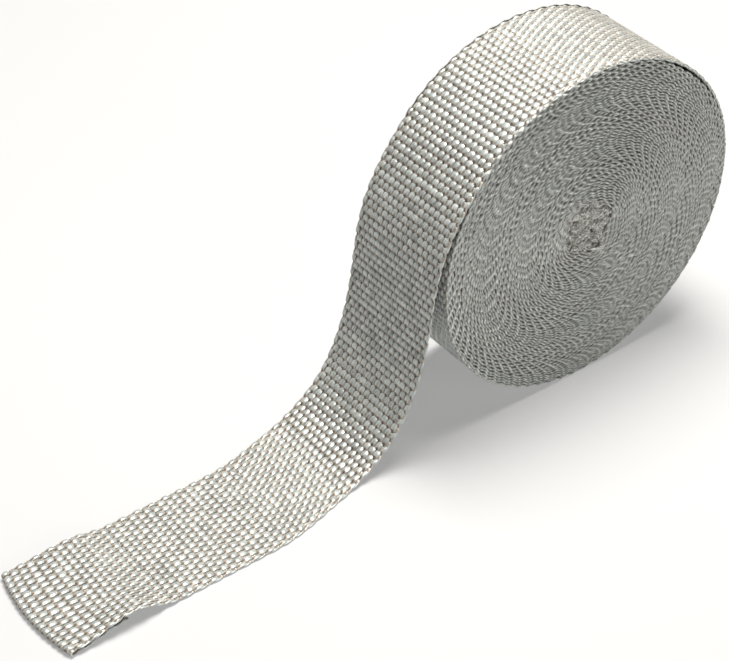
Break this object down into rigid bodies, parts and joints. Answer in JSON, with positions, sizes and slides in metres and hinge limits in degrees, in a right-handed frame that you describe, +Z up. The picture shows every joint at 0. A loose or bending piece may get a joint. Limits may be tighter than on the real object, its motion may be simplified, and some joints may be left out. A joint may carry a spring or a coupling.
{
  "type": "exhaust heat wrap roll",
  "caption": "Roll of woven silver-grey glass-fibre exhaust heat wrap standing on its edge, its free end running down to the floor and folded under.",
  "frame": {"origin": "on the floor, under the middle of the overall box", "axes": "+X from the free end towards the roll, along the tape on the floor; +Y along the roll's axis, away from the end face that the picture shows; +Z up"},
  "size_m": [0.323, 0.06, 0.1462],
  "materials": {
    "woven_glass_fibre": "plain-woven glass-fibre tape, silver grey with a satin sheen along the yarns"
  },
  "bodies": {
    "root": {"heat_wrap_tape": "woven_glass_fibre"}
  },
  "joints": []
}
